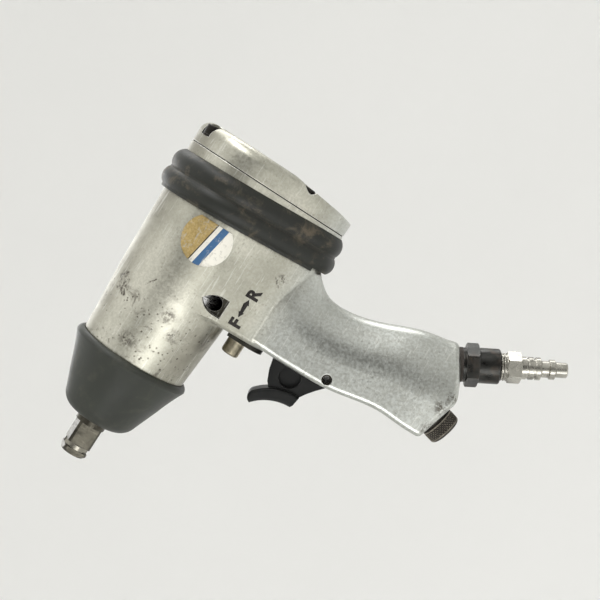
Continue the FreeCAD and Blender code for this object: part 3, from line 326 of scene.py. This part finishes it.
def metal(name, base, rough=0.35, streak=(1.0, 1.0, 1.0), dark=0.35, depth=0.03, rust=0.0):
    """Machined or worn metal: fine lines, stains, light wear and, where asked, rust."""
    f = Finish(name)
    metallic = 1.0
    lines = f.noise(250.0, 4.0, 0.6, at=f.stretched(*streak))
    stains = f.ramp(f.noise(130.0, 6.0, 0.65, 0.6), 0.42, 0.72)
    worn = f.edges(0.5)
    bright = tuple(min(0.85, c * 1.8 + 0.1) for c in base)
    lined = f.mix(lines, base, tuple(min(1.0, c * 1.3) for c in base))
    body = f.mix(f.math("MULTIPLY", stains, dark), lined, tuple(c * 0.25 for c in base))
    if rust:
        spread = f.math("MULTIPLY", f.ramp(f.noise(110.0, 7.0, 0.7, 0.5), 0.50, 0.66), rust)
        body = f.mix(spread, body, (0.060, 0.036, 0.020))
        metallic = f.math("SUBTRACT", metallic, f.math("MULTIPLY", spread, 0.7))
    f.set(
        base_color=f.mix(f.math("MULTIPLY", worn, 0.5), body, bright),
        metallic=metallic,
        roughness=f.ramp(lines, 0.25, 0.75, rough * 0.75, rough * 1.3),
        normal=f.bump(lines, depth, 0.6, f.bevel(0.25)),
    )
    return f


def plastic(name, base, rough=0.4):
    """Moulded plastic or board, rubbed paler on its edges."""
    f = Finish(name)
    fine = f.noise(700.0, 3.0, 0.6)
    rubbed = f.ramp(f.noise(90.0, 5.0, 0.6), 0.4, 0.7)
    edge = f.math("MULTIPLY", f.edges(0.8, 0.02, 0.2), 0.5)
    body = f.mix(f.math("MULTIPLY", rubbed, 0.5), base, tuple(c * 2.0 + 0.008 for c in base))
    f.set(
        base_color=f.mix(edge, body, tuple(c * 3.0 + 0.02 for c in base)),
        specular=0.22,
        roughness=f.ramp(rubbed, 0.0, 1.0, rough, rough + 0.14),
        normal=f.bump(fine, 0.03, 0.5, f.bevel(0.4)),
    )
    return f


TURNED = (6.0, 1.0, 1.0)

LABEL_CENTRE = (131.5, 0.0, -1.0)
LABEL_LEAN = 0.18
LABEL_BANDS = (
    # lowest and highest place down the label in millimetres, colour
    (-14.0, 1.0, (0.68, 0.66, 0.59)),
    (0.4, 1.0, (0.03, 0.025, 0.02)),
    (-5.4, -1.8, (0.03, 0.10, 0.22)),
)


def label_print(name):
    """A plain foil label: a gold field, an off-white one and a blue band, scuffed through to grey."""
    f = Finish(name)
    apart = f.new("ShaderNodeSeparateXYZ")
    f.put(apart.inputs[0], f.place)
    down = f.math("MULTIPLY", f.math("SUBTRACT", apart.outputs[2], LABEL_CENTRE[2] * MM), 1.0 / MM)
    lean = f.math("MULTIPLY", f.math("SUBTRACT", apart.outputs[0], LABEL_CENTRE[0] * MM), LABEL_LEAN / MM)
    down = f.math("ADD", down, lean)
    flecks = f.noise(900.0, 3.0, 0.6)
    colour = f.mix(f.ramp(flecks, 0.3, 0.7), (0.30, 0.215, 0.075), (0.42, 0.31, 0.13))
    for low, high, ink in LABEL_BANDS:
        inside = f.math("MULTIPLY", f.math("GREATER_THAN", down, low), f.math("LESS_THAN", down, high))
        colour = f.mix(inside, colour, ink)
    scuff = f.ramp(f.noise(330.0, 6.0, 0.75, 0.5), 0.56, 0.62)
    long_scuff = f.ramp(f.noise(240.0, 3.0, 0.5, at=f.stretched(0.3, 1.0, 4.0)), 0.63, 0.67)
    scuff = f.math("MAXIMUM", f.math("MULTIPLY", scuff, 0.6), f.math("MULTIPLY", long_scuff, 0.6))
    stain = f.math("MULTIPLY", f.ramp(f.noise(120.0, 5.0, 0.7), 0.5, 0.7), 0.35)
    f.set(
        base_color=f.mix(stain, f.mix(scuff, colour, (0.40, 0.39, 0.35)), (0.08, 0.065, 0.045)),
        metallic=0.25,
        roughness=f.ramp(flecks, 0.2, 0.8, 0.32, 0.5),
        normal=f.bump(f.math("SUBTRACT", flecks, scuff), 0.03, 0.5),
    )
    return f


def paint_slots():
    """Puts a material on every CAD node by its slot, and returns the materials."""
    looks = {
        "cast_housing": cast_aluminium("housing_cast"),
        "cover_casting": cast_aluminium("cover_cast", dirt=0.6),
        "boot_rubber": rubber("boot_rubber", (0.020, 0.022, 0.0175), (0.085, 0.080, 0.060), 0.30, 0.07),
        "bumper_rubber": rubber("bumper_rubber", (0.0105, 0.0115, 0.009), (0.120, 0.095, 0.062), 0.62, 0.07),
        "seal_rubber": rubber("seal_rubber", (0.012, 0.012, 0.012), (0.04, 0.04, 0.04)),
        "anvil_steel": metal("anvil_steel", (0.062, 0.058, 0.046), 0.34, TURNED, dark=0.8, depth=0.06),
        "ring_steel": metal("ring_steel", (0.20, 0.19, 0.16), 0.30, dark=0.6),
        "bushing_bronze": metal("bushing_bronze", (0.55, 0.36, 0.18), 0.4),
        "hammer_steel": metal("hammer_steel", (0.36, 0.36, 0.37), 0.35),
        "motor_steel": metal("motor_steel", (0.52, 0.52, 0.52), 0.28, TURNED),
        "vane_phenolic": plastic("vane_phenolic", (0.28, 0.17, 0.09), 0.5),
        "bearing_steel": metal("bearing_steel", (0.72, 0.72, 0.72), 0.15),
        "screw_steel": metal("screw_steel", (0.022, 0.02, 0.018), 0.42),
        "gasket_fibre": plastic("gasket_fibre", (0.035, 0.03, 0.026), 0.8),
        "reverse_steel": metal("reverse_steel", (0.30, 0.27, 0.20), 0.40, dark=0.7),
        "valve_brass": metal("valve_brass", (0.60, 0.45, 0.22), 0.3),
        "plate_steel": metal("plate_steel", (0.030, 0.029, 0.025), 0.45),
        "throttle_steel": metal("throttle_steel", (0.5, 0.5, 0.5), 0.3),
        "trigger_plastic": plastic("trigger_plastic", (0.0025, 0.0028, 0.0025), 0.42),
        "knob_steel": metal("knob_steel", (0.050, 0.043, 0.033), 0.42),
        "adapter_steel": metal("adapter_steel", (0.036, 0.036, 0.034), 0.34, dark=0.6, rust=0.35),
        "plug_steel": metal("plug_steel", (0.34, 0.33, 0.295), 0.24, dark=0.8),
        "label_foil": label_print("label_foil"),
    }
    for part in frame["record"]["subparts"]:
        mesh = NODES[part["node"]].data
        mesh.materials.clear()
        mesh.materials.append(looks[part["material_slot"]].material)
    pin = NODES["trigger_pin"].data
    pin.materials.clear()
    pin.materials.append(metal("pin_steel", (0.05, 0.045, 0.038), 0.45, dark=0.8).material)
    return looks


# ---------------------------------------------------------------- pieces made here

def add_piece(name, mesh, finish, body):
    """Makes an object of a mesh and fixes it to a body."""
    data = bpy.data.meshes.new(name)
    mesh.to_mesh(data)
    mesh.free()
    data.materials.append(finish.material)
    piece = bpy.data.objects.new(name, data)
    bpy.context.collection.objects.link(piece)
    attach(piece, body)
    return piece


def smooth_below(data, degrees):
    """Smooth shading, with edges sharper than the angle kept crisp."""
    for face in data.polygons:
        face.use_smooth = True
    limit = math.radians(degrees)
    mesh = bmesh.new()
    mesh.from_mesh(data)
    for edge in mesh.edges:
        edge.smooth = len(edge.link_faces) == 2 and edge.calc_face_angle(0.0) < limit
    mesh.to_mesh(data)
    mesh.free()


def turned_shape(rows, spokes, start, direction, radius_at):
    """A closed shape about an axis. rows are places along it in millimetres.

    radius_at(row, angle) is its radius there.
    """
    along = Vector(direction).normalized()
    side = Vector((0.0, 1.0, 0.0))
    other = along.cross(side)
    mesh = bmesh.new()
    rings = []
    for number, place in enumerate(rows):
        ring = []
        for k in range(spokes):
            a = 2.0 * math.pi * k / spokes
            out = side * math.cos(a) + other * math.sin(a)
            point = Vector(start) + along * place + out * radius_at(number, a)
            ring.append(mesh.verts.new(point * MM))
        rings.append(ring)
    for low, high in zip(rings, rings[1:]):
        for k in range(spokes):
            after = (k + 1) % spokes
            mesh.faces.new((low[k], low[after], high[after], high[k]))
    mesh.faces.new(list(reversed(rings[0])))
    mesh.faces.new(rings[-1])
    bmesh.ops.recalc_face_normals(mesh, faces=mesh.faces)
    return mesh


KNOB_START = (116.4, 0.0, -146.6)
KNOB_ANGLE = math.radians(104.0)
KNOB_DIRECTION = (math.cos(KNOB_ANGLE), 0.0, -math.sin(KNOB_ANGLE))
KNOB_RADIUS = 9.25
KNURL_STARTS = 34
KNURL_DEPTH = 0.60
KNURL_FROM = 3.3
KNURL_TO = 8.4
KNURL_ROWS = 34
KNURL_SPOKES = 8
KNURL_FADE = 0.5


def knurl(place, angle):
    """How deep the two crossing sets of V grooves are, from 0 on a diamond's top to 1."""
    turn = angle * KNURL_STARTS / (2.0 * math.pi)
    climb = place * KNURL_STARTS / (2.0 * math.pi * KNOB_RADIUS)
    deep = [abs(2.0 * ((turn + way * climb) % 1.0) - 1.0) for way in (-1.0, 1.0)]
    return max(deep)


def knurled_steel(name):
    """Blackened steel, rubbed bright on the diamonds' tops and packed with dirt between them."""
    f = Finish(name)
    offset = f.new("ShaderNodeVectorMath", operation="SUBTRACT")
    f.put(offset.inputs[0], f.place)
    offset.inputs[1].default_value = Vector(KNOB_START) * MM
    away = f.new("ShaderNodeVectorMath", operation="CROSS_PRODUCT")
    f.put(away.inputs[0], offset.outputs[0])
    away.inputs[1].default_value = KNOB_DIRECTION
    length = f.new("ShaderNodeVectorMath", operation="LENGTH")
    f.put(length.inputs[0], away.outputs[0])
    top = f.ramp(length.outputs["Value"], (KNOB_RADIUS - 0.42) * MM, (KNOB_RADIUS - 0.05) * MM)
    rubbed = f.math("MULTIPLY", top, f.ramp(f.noise(260.0, 4.0, 0.6), 0.3, 0.6, 0.45, 1.0))
    f.set(
        base_color=f.mix(rubbed, (0.020, 0.016, 0.011), (0.26, 0.235, 0.19)),
        metallic=f.math("MULTIPLY", rubbed, 0.9),
        roughness=f.ramp(rubbed, 0.0, 1.0, 0.75, 0.38),
        normal=f.bump(f.noise(900.0, 3.0, 0.6), 0.02, 0.5),
    )
    return f


def add_knob():
    """The regulator's knob with its diamond knurl."""
    plain = [(0.0, 7.9), (2.4, 7.9), (2.45, 8.7), (2.9, 9.1)]
    knurled = [KNURL_FROM + (KNURL_TO - KNURL_FROM) * k / KNURL_ROWS for k in range(KNURL_ROWS + 1)]
    end = [(8.8, 9.05), (9.3, 8.7), (9.9, 7.9), (10.15, 7.2), (10.45, 5.0), (10.5, 2.0)]
    rows = [p for p, _ in plain] + knurled + [p for p, _ in end]
    radii = [r for _, r in plain] + [None] * len(knurled) + [r for _, r in end]

    def radius_at(number, angle):
        if radii[number] is not None:
            return radii[number]
        place = rows[number]
        fade = min(1.0, (place - KNURL_FROM) / KNURL_FADE, (KNURL_TO - place) / KNURL_FADE)
        return KNOB_RADIUS - KNURL_DEPTH * (knurl(place, angle) * fade + 0.25 * (1.0 - fade))

    mesh = turned_shape(rows, KNURL_STARTS * KNURL_SPOKES, KNOB_START, KNOB_DIRECTION, radius_at)
    finish = knurled_steel("knurled_steel")
    piece = add_piece("regulator_knob_knurled", mesh, finish, "regulator")
    smooth_below(piece.data, 15.0)
    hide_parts("regulator_knob")


INLET_START = (147.0, 0.0, -143.15)
INLET_ANGLE = math.radians(60.4)
INLET_DIRECTION = (math.cos(INLET_ANGLE), 0.0, -math.sin(INLET_ANGLE))
THREAD_PITCH = 1.41
THREAD_FROM = 20.15
THREAD_TO = 23.6
THREAD_ROOT = 6.75
THREAD_CREST = 7.22
THREAD_SPOKES = 72


def add_plug_thread(looks):
    """The turns of the plug's pipe thread that stand clear of the adapter."""
    rows = []
    radii = []
    place = THREAD_FROM
    while place < THREAD_TO:
        rows += [place, place + 0.42 * THREAD_PITCH, place + 0.58 * THREAD_PITCH]
        radii += [THREAD_ROOT, THREAD_CREST, THREAD_CREST]
        place += THREAD_PITCH
    rows.append(place)
    radii.append(THREAD_ROOT)

    def radius_at(number, angle):
        return radii[number]

    mesh = turned_shape(rows, THREAD_SPOKES, INLET_START, INLET_DIRECTION, radius_at)
    piece = add_piece("plug_thread", mesh, looks["plug_steel"], ROOT)
    smooth_below(piece.data, 25.0)


MARK_LETTER = 6.2
MARK_TOP = -31.4
MARK_STRETCH = 1.05
MARK_THICKNESS = 0.05
MARK_PROUD = 0.06
ARROW_HEAD = 3.0
ARROW_HALF = 1.5
SHAFT_SHARE = 0.55


def housing_surface():
    """The housing's faces, for finding where its side is."""
    data = NODES["housing"].data
    points = [v.co for v in data.vertices]
    return BVHTree.FromPolygons(points, [tuple(p.vertices) for p in data.polygons])


def letter_mesh(text, height, left, base, stretch):
    """A flat letter in the X-Z plane, in millimetres."""
    curve = bpy.data.curves.new("letter", "FONT")
    curve.body = text
    curve.offset = 0.045
    holder = bpy.data.objects.new("letter", curve)
    bpy.context.collection.objects.link(holder)
    bpy.context.view_layer.update()
    evaluated = holder.evaluated_get(bpy.context.evaluated_depsgraph_get())
    data = bpy.data.meshes.new_from_object(evaluated)
    bpy.data.objects.remove(holder)
    tall = max(v.co.y for v in data.vertices)
    lowest_x = min(v.co.x for v in data.vertices)
    mesh = bmesh.new()
    mesh.from_mesh(data)
    for v in mesh.verts:
        across = (v.co.x - lowest_x) * height / tall * stretch
        v.co = Vector((left + across, 0.0, base + v.co.y * height / tall))
    return mesh


def arrow_mesh(left, right, z, half):
    """A line with a head at each end."""
    shaft = SHAFT_SHARE * half
    first = left + ARROW_HEAD
    last = right - ARROW_HEAD
    outline = [(left, 0), (first, half), (first, shaft), (last, shaft), (last, half),
               (right, 0), (last, -half), (last, -shaft), (first, -shaft), (first, -half)]
    mesh = bmesh.new()
    mesh.faces.new([mesh.verts.new((x, 0.0, z + dz)) for x, dz in outline])
    return mesh


def add_mark(name, mesh, looks, surface):
    """Lays a flat mark on the casting's side as a thin coat of paint."""
    bmesh.ops.triangulate(mesh, faces=mesh.faces)
    for _ in range(2):
        bmesh.ops.subdivide_edges(mesh, edges=mesh.edges, cuts=1, use_grid_fill=True)
        bmesh.ops.triangulate(mesh, faces=mesh.faces)
    for v in mesh.verts:
        place = v.co * MM
        hit = surface.ray_cast(Vector((place.x, -0.1, place.z)), Vector((0.0, 1.0, 0.0)))[0]
        v.co = Vector((place.x, hit.y - MARK_PROUD * MM, place.z))
    shell = bmesh.ops.extrude_face_region(mesh, geom=mesh.faces[:])
    for v in shell["geom"]:
        if isinstance(v, bmesh.types.BMVert):
            v.co.y += MARK_THICKNESS * MM
    bmesh.ops.recalc_face_normals(mesh, faces=mesh.faces)
    add_piece(name, mesh, looks["mark_paint"], ROOT)


def add_marks(looks):
    """The plain direction mark on the casting's side."""
    surface = housing_surface()
    looks["mark_paint"] = plastic("mark_paint", (0.012, 0.010, 0.009), 0.5)
    base = MARK_TOP - MARK_LETTER
    middle = base + MARK_LETTER / 2 + 0.3
    add_mark("mark_forward", letter_mesh("F", MARK_LETTER, 102.1, base, MARK_STRETCH), looks, surface)
    add_mark("mark_arrow", arrow_mesh(107.2, 117.6, middle, ARROW_HALF), looks, surface)
    add_mark("mark_reverse", letter_mesh("R", MARK_LETTER, 118.2, base, MARK_STRETCH), looks, surface)


LOOKS = paint_slots()
add_knob()
add_plug_thread(LOOKS)
add_marks(LOOKS)


# ---------------------------------------------------------------- stage, lights and camera

CAMERA = Vector((171.5, -700.0, -29.4)) * MM
AIM = Vector((130.0, 0.0, -56.1)) * MM
PICTURE_UP = Vector((0.8387, 0.0, 0.5446))
FOCAL = 82.2
SENSOR = 36.0
FLOOR = -0.95
FLOOR_RADIUS = 2.0
SWEEP = 2.0
WALL_TOP = 3.2
SWEEP_STEPS = 16
STAGE_SPOKES = 96
STAGE_CENTRE = (0.12, 0.0, 0.0)
LIT_CENTRE = (0.12, 0.0, -0.05)
SURROUND = (1.0, 0.995, 0.97, 1.0)
SURROUND_STRENGTH = 1.22
LAMPS = (
    # name, place in metres, width and height in metres, watts
    ("key", (0.93, -0.42, 0.58), 0.25, 0.8, 7.0),
    ("rim", (0.92, 0.55, 0.48), 0.9, 0.5, 6.0),
    ("bounce", (-0.42, -0.88, -0.34), 0.8, 0.5, 5.5),
    ("back", (-0.15, 1.1, 0.6), 0.8, 0.6, 3.0),
)


def look(location, aim, up):
    """The matrix of a camera or lamp at location that looks at aim."""
    back = (location - aim).normalized()
    right = up.cross(back).normalized()
    above = back.cross(right)
    turn = Matrix((right, above, back)).transposed()
    return Matrix.Translation(location) @ turn.to_4x4()


def add_camera():
    """A camera rolled so that in the picture the tool leans on its nose and its knob."""
    data = bpy.data.cameras.new("camera")
    data.sensor_width = SENSOR
    data.lens = FOCAL
    data.clip_start = 0.02
    data.clip_end = 30.0
    camera = bpy.data.objects.new("camera", data)
    bpy.context.collection.objects.link(camera)
    camera.matrix_world = look(CAMERA, AIM, PICTURE_UP)
    bpy.context.scene.camera = camera


def add_lamp(name, place, aim, width, height, power):
    """A soft rectangular lamp that isn't seen itself. place and aim are in metres, power in watts."""
    data = bpy.data.lights.new(name, "AREA")
    data.shape = "RECTANGLE"
    data.size = width
    data.size_y = height
    data.energy = power
    lamp = bpy.data.objects.new(name, data)
    bpy.context.collection.objects.link(lamp)
    lamp.matrix_world = look(Vector(place), Vector(aim), PICTURE_UP)
    lamp.visible_camera = False


def add_stage():
    """A round pale floor that sweeps up into a high wall."""
    profile = [(FLOOR_RADIUS, FLOOR)]
    for step in range(1, SWEEP_STEPS + 1):
        a = math.radians(90.0 * step / SWEEP_STEPS)
        profile.append((FLOOR_RADIUS + SWEEP * math.sin(a), FLOOR + SWEEP * (1 - math.cos(a))))
    profile.append((FLOOR_RADIUS + SWEEP, WALL_TOP))
    mesh = bmesh.new()
    rows = []
    angles = [2.0 * math.pi * k / STAGE_SPOKES for k in range(STAGE_SPOKES)]
    for radius, z in profile:
        rows.append([mesh.verts.new((radius * math.cos(a), radius * math.sin(a), z)) for a in angles])
    mesh.faces.new(rows[0])
    for low, high in zip(rows, rows[1:]):
        for k in range(STAGE_SPOKES):
            after = (k + 1) % STAGE_SPOKES
            mesh.faces.new((low[k], high[k], high[after], low[after]))
    data = bpy.data.meshes.new("studio_sweep")
    mesh.to_mesh(data)
    mesh.free()
    for face in data.polygons:
        face.use_smooth = True
    sweep = bpy.data.objects.new("studio_sweep", data)
    bpy.context.collection.objects.link(sweep)
    sweep.location = STAGE_CENTRE
    f = Finish("studio_white")
    paper = f.mix(f.noise(1.5), (0.80, 0.80, 0.79), (0.83, 0.83, 0.82))
    f.set(base_color=paper, roughness=0.9, specular=0.0)
    data.materials.append(f.material)


def add_card(name, place, aim, width, height, grey):
    """A large board out of the picture that the metal reflects."""
    mesh = bmesh.new()
    corners = ((-1, -1), (1, -1), (1, 1), (-1, 1))
    mesh.faces.new([mesh.verts.new((x * width / 2, y * height / 2, 0.0)) for x, y in corners])
    data = bpy.data.meshes.new(name)
    mesh.to_mesh(data)
    mesh.free()
    f = Finish(name)
    paler = grey * 1.2
    f.set(base_color=f.mix(f.noise(3.0), (grey, grey, grey), (paler, paler, paler)), roughness=0.9)
    data.materials.append(f.material)
    card = bpy.data.objects.new(name, data)
    bpy.context.collection.objects.link(card)
    card.matrix_world = look(Vector(place), Vector(aim), PICTURE_UP)
    card.visible_camera = False


def add_light():
    """An even pale surround, four soft lamps and the board that darkens the near side."""
    bpy.context.scene.view_settings.view_transform = "Standard"
    world = bpy.data.worlds.new("studio")
    bpy.context.scene.world = world
    world.use_nodes = True
    background = world.node_tree.nodes["Background"]
    background.inputs["Color"].default_value = SURROUND
    background.inputs["Strength"].default_value = SURROUND_STRENGTH
    for name, place, width, height, power in LAMPS:
        add_lamp(name, place, LIT_CENTRE, width, height, power)
    add_card("dark_board", (0.36, -1.35, 0.30), LIT_CENTRE, 1.3, 0.8, 0.10)


add_stage()
add_light()
add_camera()
